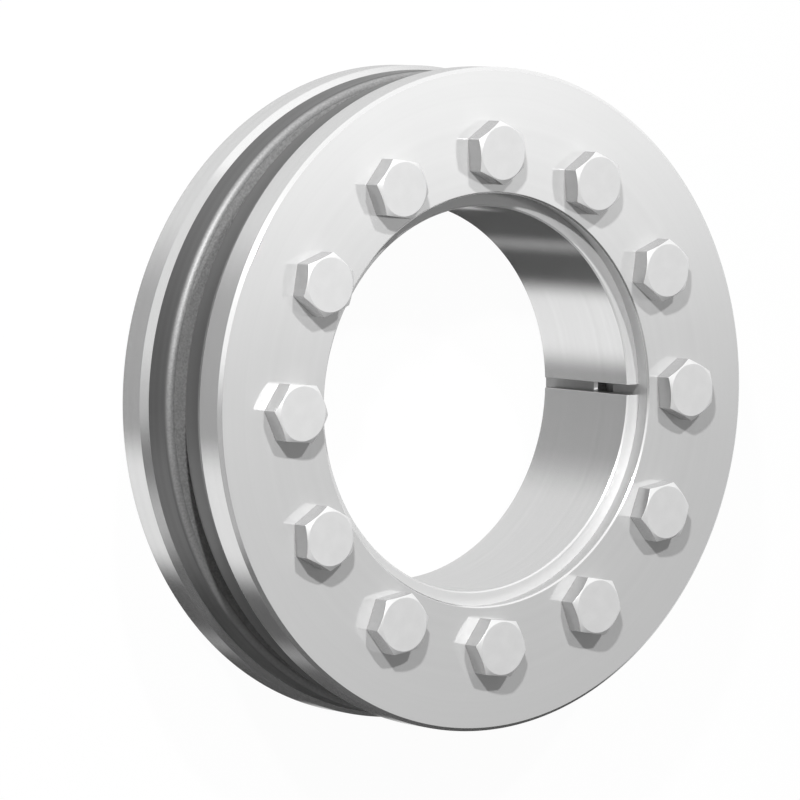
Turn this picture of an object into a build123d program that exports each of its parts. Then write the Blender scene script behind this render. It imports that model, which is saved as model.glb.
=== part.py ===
from build123d import *
import os
from math import cos, radians, tan

# Three-part shrink disc: two thrust rings, a slit double-cone inner ring between
# them, and hexagon screws that draw the rings together.
# Millimetres. +Z runs along the axis towards the screw heads, and the origin is
# the centre of the rear face, on which the disc stands.
# The slit and the first screw lie on +X.

# Thrust rings, turned from forgings. The flange reaches from the screws' circle to the rim
FLANGE_REACH = 27.5
REAR_RING_THICKNESS = 24.0
FRONT_RING_THICKNESS = 22.0
RING_GAP = 8.0
RIM_LENGTH = 10.5
RIM_CHAMFER = 1.1
HUB_STEP = 1.5
STEP_BEVEL_LENGTH = 3.1
HUB_SHOULDER_RADIUS = 2.4
RING_BORE_CHAMFER = 0.5
RING_INNER_CHAMFER = 1.0

# Double cone, shared by the inner ring and the seats in both thrust rings
CONE_HALF_ANGLE = 6.0
CREST_LAND = 3.0
SEAT_CLEARANCE = 0.06

# Inner ring, slit through on one side so that it can close on the hub
INNER_RING_BORE = 125.0
INNER_RING_WALL_AT_CREST = 7.0
FRONT_RECESS = 5.6
REAR_RECESS = 4.6
SLIT_WIDTH = 3.4
BORE_EDGE_CHAMFER = 0.5
CONE_EDGE_CHAMFER = 0.2

# Clamping screws, set just outside the crest of the inner ring
SCREW_COUNT = 12
SCREW_OFFSET_FROM_CREST = 10.5
SCREW_DIAMETER = 12.0
SCREW_TIP_RECESS = 4.0
SCREW_TIP_CHAMFER = 1.2
HEAD_ACROSS_FLATS = 18.0
HEAD_HEIGHT = 6.8
HEAD_CHAMFER_ANGLE = 30.0
HEAD_TOP_SHARE = 0.96

# Holes for the screws
THREAD_CLEARANCE = 0.05
SHANK_CLEARANCE = 0.75
HOLE_EDGE_CHAMFER = 0.6

# The turn at which each head stopped, in degrees, going round from +X
HEAD_TURNS = [34, 22, 34, 34, 52, 20, 55, 33, 9, 53, 50, 9]

# Places along the axis and radii that follow from the sizes above
GAP_BOTTOM = REAR_RING_THICKNESS
GAP_TOP = GAP_BOTTOM + RING_GAP
FRONT_FACE = GAP_TOP + FRONT_RING_THICKNESS
CREST_HEIGHT = (GAP_BOTTOM + GAP_TOP) / 2
CREST_RADIUS = INNER_RING_BORE / 2 + INNER_RING_WALL_AT_CREST
SCREW_CIRCLE_RADIUS = CREST_RADIUS + SCREW_OFFSET_FROM_CREST
RIM_RADIUS = SCREW_CIRCLE_RADIUS + FLANGE_REACH
HUB_RADIUS = RIM_RADIUS - HUB_STEP
SCREW_RADIUS = SCREW_DIAMETER / 2
CONE_SLOPE = tan(radians(CONE_HALF_ANGLE))


def cone_radius(height):
    """Radius of the double cone, widest at the crest between the thrust rings."""
    return CREST_RADIUS - abs(height - CREST_HEIGHT) * CONE_SLOPE


def seat_radius(height):
    """Radius of the cone bored in a thrust ring."""
    return cone_radius(height) + SEAT_CLEARANCE


def turned(profile):
    """Solid of revolution from (radius, height) points."""
    face = make_face(Polyline(*[(radius, 0, height) for radius, height in profile], close=True))
    return revolve(face, Axis.Z)


def thrust_ring(outer_face, gap_face):
    """Rim, bevel, hub and cone seat of one ring, from its outer face to the gap."""
    inward = 1 if gap_face > outer_face else -1
    rim_end = outer_face + inward * RIM_LENGTH
    seat_start = outer_face + inward * RING_BORE_CHAMFER
    seat_end = gap_face - inward * RING_INNER_CHAMFER
    ring = turned([
        (seat_radius(seat_start) + RING_BORE_CHAMFER, outer_face),
        (RIM_RADIUS - RIM_CHAMFER, outer_face),
        (RIM_RADIUS, outer_face + inward * RIM_CHAMFER),
        (RIM_RADIUS, rim_end),
        (HUB_RADIUS, rim_end + inward * STEP_BEVEL_LENGTH),
        (HUB_RADIUS, gap_face),
        (seat_radius(seat_end) + RING_INNER_CHAMFER, gap_face),
        (seat_radius(seat_end), seat_end),
        (seat_radius(seat_start), seat_start),
    ])
    shoulder = ring.edges().filter_by(GeomType.CIRCLE).filter_by(
        lambda edge: abs(edge.radius - HUB_RADIUS) < 1e-4 and abs(edge.center().Z - gap_face) < 1e-4)
    return fillet(shoulder, HUB_SHOULDER_RADIUS)


def screw_places():
    """One place for each screw, evenly round the pitch circle."""
    return PolarLocations(SCREW_CIRCLE_RADIUS, SCREW_COUNT, rotate=False)


def hole_row(radius, low, high):
    """Through holes with broken edges, on the pitch circle."""
    mouth = radius + HOLE_EDGE_CHAMFER
    hole = turned([
        (0, low),
        (mouth, low),
        (radius, low + HOLE_EDGE_CHAMFER),
        (radius, high - HOLE_EDGE_CHAMFER),
        (mouth, high),
        (0, high),
    ])
    return screw_places() * hole


def rear_thrust_ring():
    """Ring with the tapped holes."""
    return thrust_ring(0, GAP_BOTTOM) - hole_row(SCREW_RADIUS + THREAD_CLEARANCE, 0, GAP_BOTTOM)


def front_thrust_ring():
    """Ring with the clearance holes, under the screw heads."""
    return thrust_ring(FRONT_FACE, GAP_TOP) - hole_row(SCREW_RADIUS + SHANK_CLEARANCE, GAP_TOP, FRONT_FACE)


def inner_ring():
    """Double cone with a plain bore, cut through along its whole length at +X."""
    low = REAR_RECESS
    high = FRONT_FACE - FRONT_RECESS
    bore = INNER_RING_BORE / 2
    cone_start = low + CONE_EDGE_CHAMFER
    cone_end = high - CONE_EDGE_CHAMFER
    land = CREST_LAND / 2
    ring = turned([
        (bore + BORE_EDGE_CHAMFER, low),
        (cone_radius(cone_start) - CONE_EDGE_CHAMFER, low),
        (cone_radius(cone_start), cone_start),
        (cone_radius(CREST_HEIGHT - land), CREST_HEIGHT - land),
        (cone_radius(CREST_HEIGHT + land), CREST_HEIGHT + land),
        (cone_radius(cone_end), cone_end),
        (cone_radius(cone_end) - CONE_EDGE_CHAMFER, high),
        (bore + BORE_EDGE_CHAMFER, high),
        (bore, high - BORE_EDGE_CHAMFER),
        (bore, low + BORE_EDGE_CHAMFER),
    ])
    slit = Box(RIM_RADIUS, SLIT_WIDTH, FRONT_FACE, align=(Align.MIN, Align.CENTER, Align.MIN))
    return ring - slit


def screw():
    """Hexagon screw, threaded to the head, standing on the front face of the disc."""
    top = FRONT_FACE + HEAD_HEIGHT
    tip = SCREW_TIP_RECESS
    top_radius = HEAD_TOP_SHARE * HEAD_ACROSS_FLATS / 2
    corner_radius = HEAD_ACROSS_FLATS / 2 / cos(radians(30))
    corner_drop = (corner_radius - top_radius) * tan(radians(HEAD_CHAMFER_ANGLE))
    hexagon = RegularPolygon(HEAD_ACROSS_FLATS / 2, 6, major_radius=False)
    head = extrude(Plane.XY.offset(FRONT_FACE) * hexagon, HEAD_HEIGHT)
    domed = turned([
        (0, FRONT_FACE),
        (corner_radius, FRONT_FACE),
        (corner_radius, top - corner_drop),
        (top_radius, top),
        (0, top),
    ])
    shank = turned([
        (0, tip),
        (SCREW_RADIUS - SCREW_TIP_CHAMFER, tip),
        (SCREW_RADIUS, tip + SCREW_TIP_CHAMFER),
        (SCREW_RADIUS, FRONT_FACE),
        (0, FRONT_FACE),
    ])
    return (head & domed) + shank


def write(shape, node):
    """One file for each piece."""
    export_step(shape, f"parts/{node}.step")


os.makedirs("parts", exist_ok=True)
write(rear_thrust_ring(), "rear_thrust_ring")
write(front_thrust_ring(), "front_thrust_ring")
write(inner_ring(), "inner_ring")
for number, place in enumerate(screw_places(), start=1):
    turn = HEAD_TURNS[(number - 1) % len(HEAD_TURNS)]
    write(place * Rot(Z=turn) * screw(), f"screw_{number:02d}")
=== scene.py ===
from math import asin, atan2, cos, pi, radians, sin, tan

import bmesh
import bpy
from mathutils import Matrix, Vector


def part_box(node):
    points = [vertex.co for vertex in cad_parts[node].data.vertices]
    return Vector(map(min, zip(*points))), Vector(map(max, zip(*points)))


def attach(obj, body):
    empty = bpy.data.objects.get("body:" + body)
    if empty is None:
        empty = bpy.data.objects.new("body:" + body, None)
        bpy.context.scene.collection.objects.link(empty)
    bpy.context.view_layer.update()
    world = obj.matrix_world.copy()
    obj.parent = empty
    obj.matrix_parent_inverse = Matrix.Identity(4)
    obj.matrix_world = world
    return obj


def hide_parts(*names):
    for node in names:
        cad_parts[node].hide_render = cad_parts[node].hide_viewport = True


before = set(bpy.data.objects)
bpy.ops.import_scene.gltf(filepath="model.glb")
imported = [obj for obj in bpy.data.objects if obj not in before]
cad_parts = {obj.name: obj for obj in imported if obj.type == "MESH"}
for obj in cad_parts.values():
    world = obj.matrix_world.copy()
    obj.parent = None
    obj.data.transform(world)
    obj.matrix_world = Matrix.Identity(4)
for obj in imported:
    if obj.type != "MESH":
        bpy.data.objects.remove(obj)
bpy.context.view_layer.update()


# Thrust rings. Two forged steel rings, turned bright on the outer face and flange, with a greased
# cone seat. The band beside the gap keeps its dark skin, and the face in the gap is shot-blasted.
# The rear ring is tapped for the screws, and the front ring has clearance holes under the heads.

MM = 0.001
RING_SEGMENTS = 384
RIM_LENGTH = 10.5 * MM
RIM_CHAMFER = 1.1 * MM
HUB_STEP = 1.5 * MM
STEP_BEVEL_LENGTH = 3.1 * MM
HUB_SHOULDER_RADIUS = 2.4 * MM
RING_BORE_CHAMFER = 0.5 * MM
RING_INNER_CHAMFER = 1.0 * MM
CREST_RADIUS = 69.5 * MM
CONE_SLOPE = tan(radians(6.0))
SEAT_CLEARANCE = 0.015 * MM
TURNED_EDGE = 0.12 * MM
SOFT_EDGE = 0.4 * MM
CORNER_STEPS = 5
EDGE_MARGIN = 0.06 * MM
SHARP_FROM = radians(32)

# Finishes of a ring, in the order of its material slots
FACED, TURNED, SEAT, DARK_SKIN, SHOULDER, BLASTED = range(6)

rear_low, rear_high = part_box("rear_thrust_ring")
front_low, front_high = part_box("front_thrust_ring")
rim_radius = rear_high.x
hub_radius = rim_radius - HUB_STEP
front_face = front_high.z
crest_height = (rear_high.z + front_low.z) / 2


def cone_radius(height):
    """Radius of the double cone, widest at the crest in the middle of the gap."""
    return CREST_RADIUS - abs(height - crest_height) * CONE_SLOPE


def rounded(corners, closed=True):
    """Outline of a section from (radius, height, edge radius, finish) corners, as (point, finish).

    Each edge is broken, and a narrow margin keeps the faces beside it flat. The finish belongs to
    the band that starts at the corner. The ends of an open outline stay as they are."""
    outline = []
    for index, (radius, height, edge, finish) in enumerate(corners):
        corner = Vector((radius, height))
        if not closed and index in (0, len(corners) - 1):
            outline.append((corner, finish))
            continue
        back = (Vector(corners[index - 1][:2]) - corner).normalized()
        on = (Vector(corners[(index + 1) % len(corners)][:2]) - corner).normalized()
        half_turn = (pi - back.angle(on)) / 2
        reach = edge * tan(half_turn)
        centre = corner + (back + on).normalized() * edge / cos(half_turn)
        start = (corner + back * reach - centre).normalized()
        end = (corner + on * reach - centre).normalized()
        outline.append((corner + back * (reach + EDGE_MARGIN), corners[index - 1][3]))
        for step in range(CORNER_STEPS + 1):
            outline.append((centre + start.slerp(end, step / CORNER_STEPS) * edge, finish))
        outline.append((corner + on * (reach + EDGE_MARGIN), finish))
    return outline


def around(point, angle):
    """Place of a (radius, height) point at an angle about the axis."""
    return Vector((point[0] * cos(angle), point[0] * sin(angle), point[1]))


def skin(mesh, columns, finishes, all_round=True):
    """Faces over closed columns of points, one column beside the other.

    A band whose finish is None stays open."""
    rows = [[mesh.verts.new(point) for point in column] for column in columns]
    count = len(columns[0])
    for index in range(len(rows) if all_round else len(rows) - 1):
        left = rows[index]
        right = rows[(index + 1) % len(rows)]
        for step in range(count):
            if finishes[step] is None:
                continue
            after = (step + 1) % count
            face = mesh.faces.new((left[step], right[step], right[after], left[after]))
            face.material_index = finishes[step]
    return rows


def made(name, mesh, materials):
    """Object from a mesh in the making: faces outwards and smooth, but for its sharp edges."""
    bmesh.ops.recalc_face_normals(mesh, faces=mesh.faces)
    for face in mesh.faces:
        face.smooth = True
    data = bpy.data.meshes.new(name)
    mesh.to_mesh(data)
    mesh.free()
    data.set_sharp_from_angle(angle=SHARP_FROM)
    for material in materials:
        data.materials.append(material)
    piece = bpy.data.objects.new(name, data)
    bpy.context.scene.collection.objects.link(piece)
    return piece


def ring_outline(outer_face, gap_face):
    """Half section of a thrust ring, from its outer face to the gap."""
    inward = 1 if gap_face > outer_face else -1
    rim_end = outer_face + inward * RIM_LENGTH
    seat_start = outer_face + inward * RING_BORE_CHAMFER
    seat_end = gap_face - inward * RING_INNER_CHAMFER
    start_radius = cone_radius(seat_start) + SEAT_CLEARANCE
    end_radius = cone_radius(seat_end) + SEAT_CLEARANCE
    return rounded([
        (start_radius + RING_BORE_CHAMFER, outer_face, TURNED_EDGE, FACED),
        (rim_radius - RIM_CHAMFER, outer_face, TURNED_EDGE, TURNED),
        (rim_radius, outer_face + inward * RIM_CHAMFER, TURNED_EDGE, TURNED),
        (rim_radius, rim_end, TURNED_EDGE, TURNED),
        (hub_radius, rim_end + inward * STEP_BEVEL_LENGTH, SOFT_EDGE, DARK_SKIN),
        (hub_radius, gap_face, HUB_SHOULDER_RADIUS, SHOULDER),
        (end_radius + RING_INNER_CHAMFER, gap_face, TURNED_EDGE, TURNED),
        (end_radius, seat_end, TURNED_EDGE, SEAT),
        (start_radius, seat_start, TURNED_EDGE, TURNED),
    ])


HOLE_SEGMENTS = 64
TAPPED_RADIUS = 6.05 * MM
CLEARANCE_RADIUS = 6.75 * MM
HOLE_EDGE_CHAMFER = 0.6 * MM
THREAD_PITCH = 1.75 * MM
THREAD_DEPTH = 0.92 * MM
ROWS_PER_TURN = 10
THREAD_SEEN_TO = 3.4 * MM
MERGE = 0.001 * MM

# Shares of half a pitch that the flat root and the sloping flank of the thread take
THREAD_ROOT = 0.25
THREAD_FLANK = 0.625

screw_nodes = sorted(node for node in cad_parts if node.startswith("screw_"))


def screw_axis(node):
    """Where a screw's own axis meets the floor."""
    low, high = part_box(node)
    return Vector(((low.x + high.x) / 2, (low.y + high.y) / 2, 0))


def thread_rise(height, angle):
    """Rise of a right-hand thread above its root, from 0 to 1."""
    phase = (height / THREAD_PITCH - angle / (2 * pi)) % 1
    return min(1, max(0, (abs(2 * phase - 1) - THREAD_ROOT) / THREAD_FLANK))


def threaded_wall(mesh, bottom, top, segments, radius_at, tail, finish):
    """Round wall whose rows climb one pitch in each turn. The tail is its plain (radius, height) end."""
    turns = int((top - bottom) / THREAD_PITCH) + 2
    columns = []
    for index in range(segments + 1):
        angle = 2 * pi * index / segments
        climbed = [row / ROWS_PER_TURN + index / segments
                   for row in range(-ROWS_PER_TURN, turns * ROWS_PER_TURN)]
        heights = [min(top, max(bottom, bottom + THREAD_PITCH * turn)) for turn in climbed]
        points = [(radius_at(height, angle), height) for height in heights]
        columns.append([around(point, angle) for point in [*points, *tail]])
    skin(mesh, columns, [finish] * (len(columns[0]) - 1) + [None], all_round=False)
    bmesh.ops.remove_doubles(mesh, verts=mesh.verts, dist=MERGE)


def tapped_hole(mesh, bottom, top):
    """Wall of a tapped hole. Its thread shows only at the rear mouth, below the end of the screw."""
    thread_end = bottom + THREAD_SEEN_TO
    mouth = TAPPED_RADIUS + HOLE_EDGE_CHAMFER

    def wall(height, angle):
        fade = min(1, max(0, (thread_end - height) / (THREAD_PITCH / 2)))
        thread = TAPPED_RADIUS - THREAD_DEPTH * fade * thread_rise(height, angle)
        return max(thread, mouth - (height - bottom))

    threaded_wall(mesh, bottom, thread_end + THREAD_PITCH / 2, HOLE_SEGMENTS, wall,
                  [(TAPPED_RADIUS, top - HOLE_EDGE_CHAMFER), (mouth, top)], TURNED)


def drilled_hole(mesh, bottom, top):
    """Wall of a clearance hole, countersunk at both ends."""
    mouth = CLEARANCE_RADIUS + HOLE_EDGE_CHAMFER
    outline = [(mouth, bottom), (CLEARANCE_RADIUS, bottom + HOLE_EDGE_CHAMFER),
               (CLEARANCE_RADIUS, top - HOLE_EDGE_CHAMFER), (mouth, top)]
    angles = [2 * pi * index / HOLE_SEGMENTS for index in range(HOLE_SEGMENTS)]
    skin(mesh, [[around(point, angle) for point in outline] for angle in angles],
         [TURNED] * (len(outline) - 1) + [None])


def join(mesh, part):
    """Adds one mesh in the making to another."""
    data = bpy.data.meshes.new("part")
    part.to_mesh(data)
    part.free()
    mesh.from_mesh(data)
    bpy.data.meshes.remove(data)


def thrust_ring(name, outer_face, gap_face, hole, materials):
    """One thrust ring with its row of holes. Its two flat faces are filled in round them."""
    outline = ring_outline(outer_face, gap_face)
    finishes = []
    for (point, finish), (after, _) in zip(outline, outline[1:] + outline[:1]):
        is_holed_face = abs(point.y - after.y) < MERGE and abs(point.x - after.x) > CLEARANCE_RADIUS
        finishes.append(None if is_holed_face else finish)
    angles = [2 * pi * index / RING_SEGMENTS for index in range(RING_SEGMENTS)]
    mesh = bmesh.new()
    skin(mesh, [[around(point, angle) for point, finish in outline] for angle in angles], finishes)
    for node in screw_nodes:
        wall = bmesh.new()
        hole(wall, min(outer_face, gap_face), max(outer_face, gap_face))
        bmesh.ops.translate(wall, verts=wall.verts, vec=screw_axis(node))
        join(mesh, wall)
    for height, finish in ((outer_face, FACED), (gap_face, BLASTED)):
        rims = [edge for edge in mesh.edges
                if edge.is_boundary and abs(edge.verts[0].co.z - height) < MERGE]
        filled = bmesh.ops.triangle_fill(mesh, edges=rims, use_beauty=True, normal=(0, 0, 1))["geom"]
        for face in filled:
            if isinstance(face, bmesh.types.BMFace):
                face.material_index = finish
    return made(name, mesh, materials)


def add(tree, kind, inputs=None, **settings):
    """A node with its settings, and its inputs linked or set by name or number."""
    made_node = tree.nodes.new(kind)
    for name, value in settings.items():
        setattr(made_node, name, value)
    for name, value in (inputs or {}).items():
        if isinstance(value, bpy.types.NodeSocket):
            tree.links.new(value, made_node.inputs[name])
        else:
            made_node.inputs[name].default_value = value
    return made_node


def maths(tree, operation, *numbers):
    """The result of an operation on numbers or sockets."""
    return add(tree, "ShaderNodeMath", dict(enumerate(numbers)), operation=operation).outputs[0]


def scaled(tree, vector, scale):
    """A vector made longer or shorter."""
    return add(tree, "ShaderNodeVectorMath", {0: vector, "Scale": scale}, operation="SCALE").outputs[0]


def noise(tree, place, scale, detail, roughness=0.5):
    """A noise from 0 to 1 over a place."""
    return add(tree, "ShaderNodeTexNoise", {"Vector": place, "Scale": scale, "Detail": detail,
                                            "Roughness": roughness}).outputs["Fac"]


def eased(tree, value, start, end, low=0.0, high=1.0):
    """A value that runs softly from low to high as another runs from start to end."""
    return add(tree, "ShaderNodeMapRange", {"Value": value, "From Min": start, "From Max": end,
                                            "To Min": low, "To Max": high},
               interpolation_type="SMOOTHSTEP").outputs[0]


def blend(tree, share, first, second):
    """A number that runs from the first to the second as the share runs from 0 to 1."""
    return add(tree, "ShaderNodeMix", {"Factor": share, "A": first, "B": second},
               data_type="FLOAT").outputs[0]


def effect(name, numbers, results):
    """Empty node group with number inputs and number outputs, as (tree, its inputs, its end)."""
    tree = bpy.data.node_groups.new(name, "ShaderNodeTree")
    for number, value in numbers.items():
        socket = tree.interface.new_socket(number, in_out="INPUT", socket_type="NodeSocketFloat")
        socket.default_value = value
    for result in results:
        tree.interface.new_socket(result, in_out="OUTPUT", socket_type="NodeSocketFloat")
    return tree, tree.nodes.new("NodeGroupInput").outputs, tree.nodes.new("NodeGroupOutput")


MARK_WANDER = 6.0
WIDE_BAND_SCALE = 0.08


def turning_marks():
    """Fine rings left by the lathe: on a face they run round the axis, on a rim side by side."""
    tree, given, end = effect("turning marks", {"Feed": 0.3 * MM}, ["Height", "Tone"])
    place = add(tree, "ShaderNodeTexCoord").outputs["Object"]
    apart = add(tree, "ShaderNodeSeparateXYZ", {0: place}).outputs
    flat = add(tree, "ShaderNodeCombineXYZ", {0: apart[0], 1: apart[1]}).outputs[0]
    radius = add(tree, "ShaderNodeVectorMath", {0: flat}, operation="LENGTH").outputs["Value"]
    ridges = maths(tree, "DIVIDE", maths(tree, "SUBTRACT", radius, apart[2]), given["Feed"])
    wander = add(tree, "ShaderNodeSeparateXYZ", {0: scaled(tree, flat, MARK_WANDER)}).outputs
    wound = add(tree, "ShaderNodeCombineXYZ", {0: ridges, 1: wander[0], 2: wander[1]}).outputs[0]
    wide_bands = scaled(tree, wound, WIDE_BAND_SCALE)
    tree.links.new(noise(tree, wound, 1.0, 2.0), end.inputs["Height"])
    tree.links.new(noise(tree, wide_bands, 1.0, 3.0), end.inputs["Tone"])
    return tree


def handling_marks():
    """Faint cloudy film of oil and handling, in broad soft patches."""
    tree, given, end = effect("handling marks", {"Patch Size": 30 * MM}, ["Film"])
    place = add(tree, "ShaderNodeTexCoord").outputs["Object"]
    scale = maths(tree, "DIVIDE", 1.0, given["Patch Size"])
    tree.links.new(noise(tree, place, scale, 4.0, 0.6), end.inputs["Film"])
    return tree


def blasted_grain():
    """Small pits over a finer grain, as shot leaves them."""
    tree, given, end = effect("blasted grain", {"Pit Size": 0.7 * MM}, ["Height", "Tone"])
    place = add(tree, "ShaderNodeTexCoord").outputs["Object"]
    scale = maths(tree, "DIVIDE", 1.0, given["Pit Size"])
    pits = noise(tree, place, scale, 2.0)
    finer = noise(tree, place, maths(tree, "MULTIPLY", scale, 2.0), 1.0)
    tree.links.new(maths(tree, "ADD", pits, finer), end.inputs["Height"])
    tree.links.new(pits, end.inputs["Tone"])
    return tree


TURNING_MARKS = turning_marks()
HANDLING_MARKS = handling_marks()
BLASTED_GRAIN = blasted_grain()


NOISE_MIDDLE = (0.3, 0.7)


def between(tree, share, low, high):
    """A value that runs from low to high as the share runs over the middle of a noise."""
    return add(tree, "ShaderNodeMapRange", {
        "Value": share, "From Min": NOISE_MIDDLE[0], "From Max": NOISE_MIDDLE[1],
        "To Min": low, "To Max": high}).outputs["Result"]


def grey(tree, value):
    """A neutral colour from a number."""
    return add(tree, "ShaderNodeCombineColor", {0: value, 1: value, 2: value}).outputs[0]


def new_material(name, metallic):
    """A new material, as (material, its tree, its shader)."""
    material = bpy.data.materials.new(name)
    material.use_nodes = True
    shader = material.node_tree.nodes["Principled BSDF"]
    shader.inputs["Metallic"].default_value = metallic
    return material, material.node_tree, shader


def dress(tree, shader, tone, roughness, height, strength, depth):
    """Gives the shader a grey tone, a roughness and a bump of some strength and depth."""
    tree.links.new(grey(tree, tone), shader.inputs["Base Color"])
    tree.links.new(roughness, shader.inputs["Roughness"])
    bump = add(tree, "ShaderNodeBump", {"Height": height, "Strength": strength, "Distance": depth})
    tree.links.new(bump.outputs["Normal"], shader.inputs["Normal"])


def lathe_steel(name, tone, roughness, metallic, feed, mark_depth):
    """Bare steel with the marks of the lathe and a faint film of oil. Tone and roughness are pairs."""
    material, tree, shader = new_material(name, metallic)
    marks = add(tree, "ShaderNodeGroup", {"Feed": feed}, node_tree=TURNING_MARKS).outputs
    film = add(tree, "ShaderNodeGroup", node_tree=HANDLING_MARKS).outputs["Film"]
    dress(tree, shader, between(tree, marks["Tone"], *tone), between(tree, film, *roughness),
          marks["Height"], 0.5, mark_depth)
    return material


# How far the surface turns up, from 0 for upright to 1 for level, where the shoulder goes from
# dark skin to a lighter tone that is a painted highlight, where that painted highlight dulls, and from
# smooth to pitted
SHOULDER_HIGHLIGHT_RISE = (0.2, 0.62)
SHOULDER_HIGHLIGHT_FADE = (0.7, 0.93)
SHOULDER_PITTED = (0.5, 0.95)
HIGHLIGHT_FADE_SHARE = 0.85
SKIN_TONE = 0.14
BLASTED_STRENGTH = 0.6
BLASTED_DEPTH = 0.1 * MM


def shoulder_steel_with_painted_highlight():
    """Dark skin like that of the band beside it, with a painted highlight where the shoulder turns up."""
    material, tree, shader = new_material("shoulder_steel_with_painted_highlight", 0.5)
    facing = add(tree, "ShaderNodeTexCoord").outputs["Normal"]
    upwards = add(tree, "ShaderNodeSeparateXYZ", {0: facing}).outputs[2]
    grain = add(tree, "ShaderNodeGroup", node_tree=BLASTED_GRAIN).outputs
    # dull and metal carry the painted highlight: a lighter tone where the shoulder turns up, dulled again
    # towards level
    dull = eased(tree, upwards, *SHOULDER_HIGHLIGHT_FADE, 1.0, HIGHLIGHT_FADE_SHARE)
    metal = maths(tree, "MULTIPLY", between(tree, grain["Tone"], 0.26, 0.35), dull)
    tone = blend(tree, eased(tree, upwards, *SHOULDER_HIGHLIGHT_RISE), SKIN_TONE, metal)
    pitted = add(tree, "ShaderNodeMapRange", {
        "Value": upwards, "From Min": SHOULDER_PITTED[0], "From Max": SHOULDER_PITTED[1]}).outputs[0]
    dress(tree, shader, tone, between(tree, grain["Tone"], 0.48, 0.56),
          maths(tree, "MULTIPLY", grain["Height"], pitted), BLASTED_STRENGTH, BLASTED_DEPTH)
    return material


def blasted_steel():
    """Shot-blasted forging skin: small pits over a fine grain, dull and grey."""
    material, tree, shader = new_material("blasted_steel", 0.6)
    grain = add(tree, "ShaderNodeGroup", node_tree=BLASTED_GRAIN).outputs
    dress(tree, shader, between(tree, grain["Tone"], 0.34, 0.5), between(tree, grain["Tone"], 0.42, 0.55),
          grain["Height"], BLASTED_STRENGTH, BLASTED_DEPTH)
    return material


ring_finishes = [
    lathe_steel("faced_steel", tone=(0.79, 0.82), roughness=(0.09, 0.12), metallic=0.5,
                feed=0.25 * MM, mark_depth=0.002 * MM),
    lathe_steel("turned_steel", tone=(0.81, 0.85), roughness=(0.1, 0.14), metallic=0.85,
                feed=0.3 * MM, mark_depth=0.002 * MM),
    lathe_steel("greased_seat_steel", tone=(0.56, 0.6), roughness=(0.46, 0.54), metallic=0.7,
                feed=0.2 * MM, mark_depth=0.0015 * MM),
    lathe_steel("dark_skin_steel", tone=(0.127, 0.163), roughness=(0.3, 0.4), metallic=0.6,
                feed=0.5 * MM, mark_depth=0.003 * MM),
    shoulder_steel_with_painted_highlight(),
    blasted_steel(),
]

rear_ring = thrust_ring("rear_thrust_ring_steel", rear_low.z, rear_high.z, tapped_hole, ring_finishes)
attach(rear_ring, "rear_ring")
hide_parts("rear_thrust_ring")

front_ring = thrust_ring("front_thrust_ring_steel", front_high.z, front_low.z, drilled_hole, ring_finishes)
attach(front_ring, "front_ring")
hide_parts("front_thrust_ring")


# Inner ring. A thin double cone of tempered steel, ground to fit both seats and bored smooth.
# It is slit right through on one side, so that the cones can close it on the hub.

INNER_RING_BORE = 62.5 * MM
CREST_LAND = 3.0 * MM
BORE_EDGE_CHAMFER = 0.5 * MM
SLIT_WIDTH = 3.4 * MM
SLIT_EDGE = 0.1 * MM
GROUND_EDGE = 0.14 * MM
FINE_EDGE = 0.03 * MM

# Finishes of the inner ring, in the order of its material slots
GROUND, END_FACED, SAWN = range(3)

inner_low, inner_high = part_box("inner_ring")


def shrunk(outline, amount):
    """The points of a closed outline, moved in by an amount."""
    inner = []
    for index, point in enumerate(outline):
        onward = (outline[(index + 1) % len(outline)] - outline[index - 1]).normalized()
        inner.append(point + Vector((-onward.y, onward.x)) * amount)
    return inner


def inner_ring_section():
    """Half section of the double cone and its bore, anticlockwise, as (point, finish)."""
    low = inner_low.z
    high = inner_high.z
    land = CREST_LAND / 2
    crest_edge = cone_radius(crest_height + land)
    return rounded([
        (INNER_RING_BORE + BORE_EDGE_CHAMFER, low, GROUND_EDGE, END_FACED),
        (cone_radius(low), low, FINE_EDGE, GROUND),
        (crest_edge, crest_height - land, GROUND_EDGE, GROUND),
        (crest_edge, crest_height + land, GROUND_EDGE, GROUND),
        (cone_radius(high), high, FINE_EDGE, END_FACED),
        (INNER_RING_BORE + BORE_EDGE_CHAMFER, high, GROUND_EDGE, END_FACED),
        (INNER_RING_BORE, high - BORE_EDGE_CHAMFER, GROUND_EDGE, GROUND),
        (INNER_RING_BORE, low + BORE_EDGE_CHAMFER, GROUND_EDGE, END_FACED),
    ])


def slit_ring(name, materials):
    """The inner ring, whose ends follow the parallel walls of the slit."""
    outline = inner_ring_section()
    section = [point for point, finish in outline]
    finishes = [finish for point, finish in outline]
    narrow = shrunk(section, SLIT_EDGE)

    def column(points, share, half_width):
        turned_points = []
        for point in points:
            start = asin(half_width / point.x)
            turned_points.append(around(point, start + (2 * pi - 2 * start) * share))
        return turned_points

    edge = SLIT_WIDTH / 2 + SLIT_EDGE
    columns = [column(narrow, 0, SLIT_WIDTH / 2)]
    columns += [column(section, index / RING_SEGMENTS, edge) for index in range(RING_SEGMENTS + 1)]
    columns.append(column(narrow, 1, SLIT_WIDTH / 2))
    mesh = bmesh.new()
    rows = skin(mesh, columns, finishes, all_round=False)
    for row in (rows[0], rows[-1]):
        mesh.faces.new(row).material_index = SAWN
    return made(name, mesh, materials)


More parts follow.
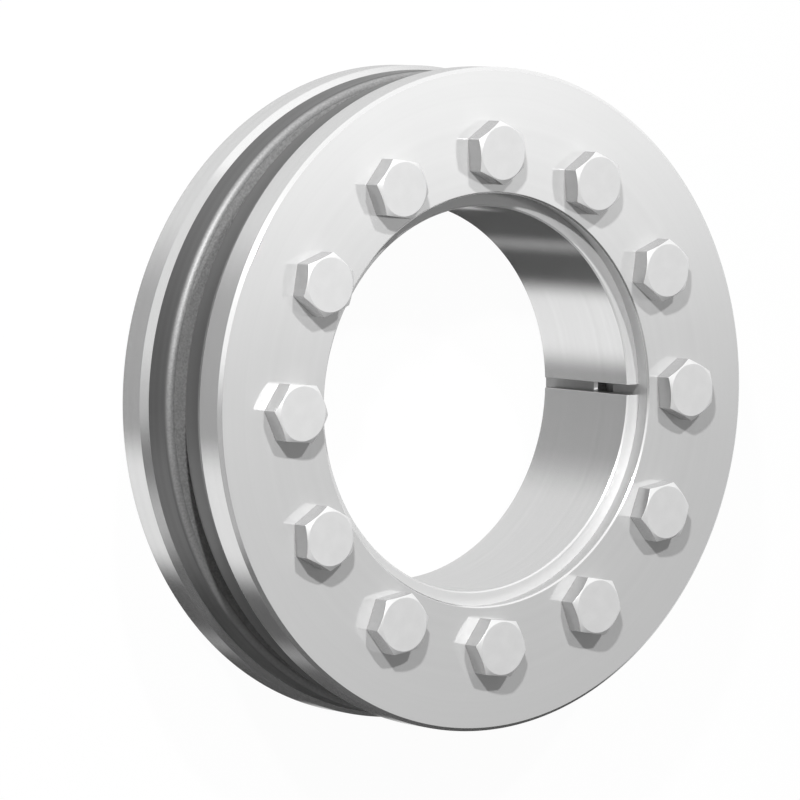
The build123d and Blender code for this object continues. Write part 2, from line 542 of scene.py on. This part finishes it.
inner_ring = slit_ring("inner_ring_steel", [
    lathe_steel("ground_steel", tone=(0.86, 0.9), roughness=(0.1, 0.14), metallic=0.9,
                feed=0.2 * MM, mark_depth=0.0015 * MM),
    lathe_steel("faced_end_steel", tone=(0.63, 0.67), roughness=(0.2, 0.24), metallic=0.2,
                feed=0.2 * MM, mark_depth=0.002 * MM),
    lathe_steel("sawn_steel", tone=(0.26, 0.32), roughness=(0.3, 0.38), metallic=0.7,
                feed=0.6 * MM, mark_depth=0.01 * MM),
])
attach(inner_ring, "inner_ring")
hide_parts("inner_ring")


# Clamping screws. Bright zinc-plated hexagon screws, cold-headed and then rolled with a thread up
# to the head. Each stops at its own turn, and they are tightened in turn until the rings sit square.

# Finishes of a screw, in the order of its material slots. The flats are sheared, and their darker tone is
# painted shade on the sides of the head
BRIGHT, SHEARED_AND_SHADED = range(2)

HEAD_ACROSS_FLATS = 18.0 * MM
HEAD_TOP_SHARE = 0.96
HEAD_TOP_RADIUS = HEAD_TOP_SHARE * HEAD_ACROSS_FLATS / 2
HEAD_CHAMFER = tan(radians(30.0))
HEAD_EDGE = 0.13 * MM
SCREW_RADIUS = 6.0 * MM
SCREW_TIP_CHAMFER = 1.2 * MM
SHANK_SEGMENTS = 32
HEAD_MIDDLE = 3.0 * MM

# The turn from a corner, in degrees, up to which it is softened, and those of the head's columns
CORNER_SOFTENED = 0.9
CORNER_TURNS = [0, 0.5, CORNER_SOFTENED, 1.3, *range(5, 60, 5), 58.7, 60 - CORNER_SOFTENED, 59.5]


def head_side(turn):
    """Distance from the axis to the side of the head, at a turn in degrees from a corner."""
    from_flat = min(abs(turn % 60 - 30), 30 - CORNER_SOFTENED)
    return HEAD_ACROSS_FLATS / 2 / cos(radians(from_flat))


def screw_mesh(name, materials, bottom, head_top):
    """Hexagon head with its chamfer, and the threaded shank in it, about the screw's own axis."""
    mesh = bmesh.new()
    root = SCREW_RADIUS - THREAD_DEPTH

    def thread(height, angle):
        runout = min(1, max(0, (front_face - height) / THREAD_PITCH - 0.5))
        tip = SCREW_RADIUS - SCREW_TIP_CHAMFER + (height - bottom)
        return min(tip, root + THREAD_DEPTH * runout * thread_rise(height, angle))

    threaded_wall(mesh, bottom, front_face, SHANK_SEGMENTS, thread,
                  [(root, front_face + HEAD_MIDDLE / 2)], BRIGHT)
    bmesh.ops.holes_fill(mesh, edges=mesh.edges)
    columns = []
    for corner in range(6):
        for turn in CORNER_TURNS:
            side = head_side(turn)
            edge_height = head_top - (side - HEAD_TOP_RADIUS) * HEAD_CHAMFER
            outline = rounded([
                (HEAD_MIDDLE, front_face, 0, BRIGHT),
                (side, front_face, HEAD_EDGE, SHEARED_AND_SHADED),
                (side, edge_height, HEAD_EDGE, BRIGHT),
                (HEAD_TOP_RADIUS, head_top, HEAD_EDGE, BRIGHT),
                (HEAD_MIDDLE, head_top, 0, BRIGHT),
            ], closed=False)
            angle = radians(60 * corner + turn)
            columns.append([around(point, angle) for point, finish in outline])
    rows = skin(mesh, columns, [finish for point, finish in outline[:-1]] + [None])
    mesh.faces.new([row[0] for row in rows])
    mesh.faces.new([row[-1] for row in rows])
    return made(name, mesh, materials)


def tumbled_grain():
    """Fine grain from the tumbling of the screws in the plating drum."""
    tree, given, end = effect("tumbled grain", {"Grain Size": 1.5 * MM}, ["Height"])
    place = add(tree, "ShaderNodeTexCoord").outputs["Object"]
    scale = maths(tree, "DIVIDE", 1.0, given["Grain Size"])
    tree.links.new(noise(tree, place, scale, 0.0), end.inputs["Height"])
    return tree


TUMBLED_GRAIN = tumbled_grain()


def zinc_plate(name, tone, roughness, metallic):
    """Bright zinc over steel, a little cloudy, with a fine grain from the tumbling."""
    material, tree, shader = new_material(name, metallic)
    film = add(tree, "ShaderNodeGroup", {"Patch Size": 6 * MM}, node_tree=HANDLING_MARKS).outputs["Film"]
    grain = add(tree, "ShaderNodeGroup", node_tree=TUMBLED_GRAIN).outputs["Height"]
    dress(tree, shader, between(tree, film, *tone), between(tree, film, *roughness),
          grain, 0.3, 0.004 * MM)
    return material


def corner_direction(node):
    """Direction in which a corner of a screw's hexagon points, from the vertex furthest out."""
    axis = screw_axis(node)
    corner = max(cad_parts[node].data.vertices, key=lambda vertex: (vertex.co - axis).xy.length)
    return atan2(corner.co.y - axis.y, corner.co.x - axis.x)


zinc_finishes = [
    zinc_plate("zinc_plate", tone=(0.7, 0.74), roughness=(0.29, 0.36), metallic=0.35),
    # The darker tone of the sheared flats is painted shade on the sides of the head.
    zinc_plate("sheared_flats_zinc_painted_shade", tone=(0.44, 0.48), roughness=(0.2, 0.26), metallic=0.7),
]
for node in screw_nodes:
    screw_low, screw_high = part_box(node)
    screw = screw_mesh(node + "_zinc", zinc_finishes, screw_low.z, screw_high.z)
    turn = Matrix.Rotation(corner_direction(node), 4, "Z")
    screw.matrix_world = Matrix.Translation(screw_axis(node)) @ turn
    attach(screw, node)
    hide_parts(node)


# Floor. A plain pale table top, white to the camera, that keeps the soft shadow of the disc.
# It isn't part of the object. From below it is clear, so that the rear face can be looked at.

FLOOR_SIZE = 6.0
FLOOR_TONES = (0.84, 0.86)
FLOOR_CLOUDS = 3.0
FLOOR_WHITE = 0.97
FLOOR_DROP = 0.05 * MM


def pale_floor():
    """Matt pale surface, lifted towards white for the camera and in glass."""
    material, tree, shader = new_material("pale_floor", 0.0)
    shader.inputs["Roughness"].default_value = 0.8
    place = add(tree, "ShaderNodeTexCoord").outputs["Object"]
    tone = between(tree, noise(tree, place, FLOOR_CLOUDS, 2.0), *FLOOR_TONES)
    tree.links.new(grey(tree, tone), shader.inputs["Base Color"])
    path = add(tree, "ShaderNodeLightPath").outputs
    seen = maths(tree, "MAXIMUM", path["Is Camera Ray"], path["Is Transmission Ray"])
    share = maths(tree, "MULTIPLY", seen, FLOOR_WHITE)
    white = add(tree, "ShaderNodeEmission", {"Color": (1, 1, 1, 1), "Strength": 1.0}).outputs[0]
    mixed = add(tree, "ShaderNodeMixShader", {0: share, 1: shader.outputs[0], 2: white}).outputs[0]
    underside = add(tree, "ShaderNodeNewGeometry").outputs["Backfacing"]
    clear = add(tree, "ShaderNodeBsdfTransparent").outputs[0]
    one_sided = add(tree, "ShaderNodeMixShader", {0: underside, 1: mixed, 2: clear}).outputs[0]
    tree.links.new(one_sided, tree.nodes["Material Output"].inputs["Surface"])
    return material


floor_mesh = bmesh.new()
bmesh.ops.create_grid(floor_mesh, x_segments=1, y_segments=1, size=FLOOR_SIZE / 2)
floor = made("floor", floor_mesh, [pale_floor()])
floor.location.z = -FLOOR_DROP
floor.visible_glossy = False


# Light and camera. A small near lamp and a far one throw the two shadows of each head. The disc
# stands in a white studio, and grey and black cards round it give the bright metal its dark lines.
# A long lens looks down on the disc from the side away from the slit.

CAMERA_PLACE = Vector((-1.0567, 0.1336, 1.3832))
CAMERA_LOOKS = Vector((0.6069, -0.0784, -0.7909))
CAMERA_LENS = 237.3
SENSOR_WIDTH = 36.0
NEAR_LAMP_PLACE = Vector((-0.515, 0.525, 0.614))
NEAR_LAMP_POWER = 7.3
NEAR_LAMP_SIZE = 50 * MM
FAR_LAMP_DIRECTION = Vector((0.05, 0.85, 1.0))
FAR_LAMP_STRENGTH = 1.85
FAR_LAMP_SPREAD = radians(3)
SKY_LEVEL = 0.2

# Cards that the metal mirrors, each with the compass direction of its middle going round from +X,
# half its width and its soft edge, in degrees, then its lowest and highest place, from -1 at the
# bottom to 1 overhead or past them where it runs on, and its level
CARDS = {
    "pale table": (66, 90, 14, -1.5, -0.45, 0.65),
    "pale wall": (150, 36, 5, -0.3, 0.3, 0.68),
    "grey card behind the camera": (172, 40, 18, -1.5, -0.25, 0.3),
    "grey card over the shoulder": (203, 28, 10, -0.35, 0.7, 0.42),
    "lens": (199, 8, 7, -0.25, 0.25, 0.12),
    "black card": (280, 55, 7, -1.5, 0.7, 0.07),
    "gap in the black card": (285, 5, 6, -1.5, -0.6, 0.3),
    "camera": (172, 18, 8, 0.76, 1.5, 0.02),
    "white card low down": (226, 22.5, 9.5, -1.5, -0.45, 0.85),
}
CARD_SOFTNESS = 0.15

# Dark strip of ceiling between two white panels, with its soft lower edge, its two soft edges
# along Y and its level
CEILING_FROM = (0.5, 0.7)
CEILING_STRIP_EDGE = (-0.006, -0.086)
CEILING_STRIP_END = (-0.56, -0.42)
CEILING_STRIP_LEVEL = 0.23


def standing_card(tree, light, compass, height, middle, half_width, soft, bottom, top, level):
    """The light that is left when a card with soft edges stands in front of it."""
    turned_by = maths(tree, "WRAP", maths(tree, "SUBTRACT", compass, middle), 180.0, -180.0)
    in_width = eased(tree, maths(tree, "ABSOLUTE", turned_by), half_width + soft, half_width - soft)
    over_bottom = eased(tree, height, bottom - CARD_SOFTNESS, bottom + CARD_SOFTNESS)
    under_top = eased(tree, height, top + CARD_SOFTNESS, top - CARD_SOFTNESS)
    hidden = maths(tree, "MULTIPLY", in_width, maths(tree, "MULTIPLY", over_bottom, under_top))
    return blend(tree, hidden, light, level)


def studio():
    """White for the camera, the metal and glass, but for the cards. The matt parts get an even fill."""
    sky = bpy.data.worlds.new("studio")
    bpy.context.scene.world = sky
    sky.use_nodes = True
    tree = sky.node_tree
    path = add(tree, "ShaderNodeLightPath").outputs
    towards = add(tree, "ShaderNodeTexCoord").outputs["Generated"]
    apart = add(tree, "ShaderNodeSeparateXYZ", {0: towards}).outputs
    compass = maths(tree, "DEGREES", maths(tree, "ARCTAN2", apart[1], apart[0]))
    light = 1.0
    for card in CARDS.values():
        light = standing_card(tree, light, compass, apart[2], *card)
    across = maths(tree, "MULTIPLY", eased(tree, apart[1], *CEILING_STRIP_EDGE),
                   eased(tree, apart[1], *CEILING_STRIP_END))
    strip = maths(tree, "MULTIPLY", across, eased(tree, apart[2], *CEILING_FROM))
    mirrored = blend(tree, strip, light, CEILING_STRIP_LEVEL)
    in_metal = blend(tree, path["Is Glossy Ray"], 1.0, mirrored)
    seen = maths(tree, "MAXIMUM", path["Is Camera Ray"], path["Is Glossy Ray"])
    seen = maths(tree, "MAXIMUM", seen, path["Is Transmission Ray"])
    background = tree.nodes["Background"].inputs
    background["Color"].default_value = (1, 1, 1, 1)
    tree.links.new(blend(tree, seen, SKY_LEVEL, in_metal), background["Strength"])


studio()


def lamp(name, kind, place, strength, in_metal):
    """Lamp that faces the disc, out of the camera's sight. The steel mirrors it only if it is in_metal."""
    data = bpy.data.lights.new(name, kind)
    data.energy = strength
    light = bpy.data.objects.new(name, data)
    bpy.context.scene.collection.objects.link(light)
    light.location = place
    light.rotation_euler = (-place).to_track_quat("-Z", "Y").to_euler()
    light.visible_camera = False
    light.visible_glossy = in_metal
    return data


near_lamp = lamp("near_lamp", "AREA", NEAR_LAMP_PLACE, NEAR_LAMP_POWER, True)
near_lamp.shape = "DISK"
near_lamp.size = NEAR_LAMP_SIZE
far_lamp = lamp("far_lamp", "SUN", FAR_LAMP_DIRECTION, FAR_LAMP_STRENGTH, False)
far_lamp.angle = FAR_LAMP_SPREAD

camera_data = bpy.data.cameras.new("camera")
camera_data.lens = CAMERA_LENS
camera_data.sensor_width = SENSOR_WIDTH
camera = bpy.data.objects.new("camera", camera_data)
bpy.context.scene.collection.objects.link(camera)
camera_right = CAMERA_LOOKS.cross(Vector((0, 1, 0))).normalized()
camera_up = camera_right.cross(CAMERA_LOOKS).normalized()
camera.matrix_world = Matrix.Translation(CAMERA_PLACE) @ Matrix(
    (camera_right, camera_up, -CAMERA_LOOKS.normalized())).transposed().to_4x4()
bpy.context.scene.camera = camera

bpy.context.scene.view_settings.view_transform = "Standard"
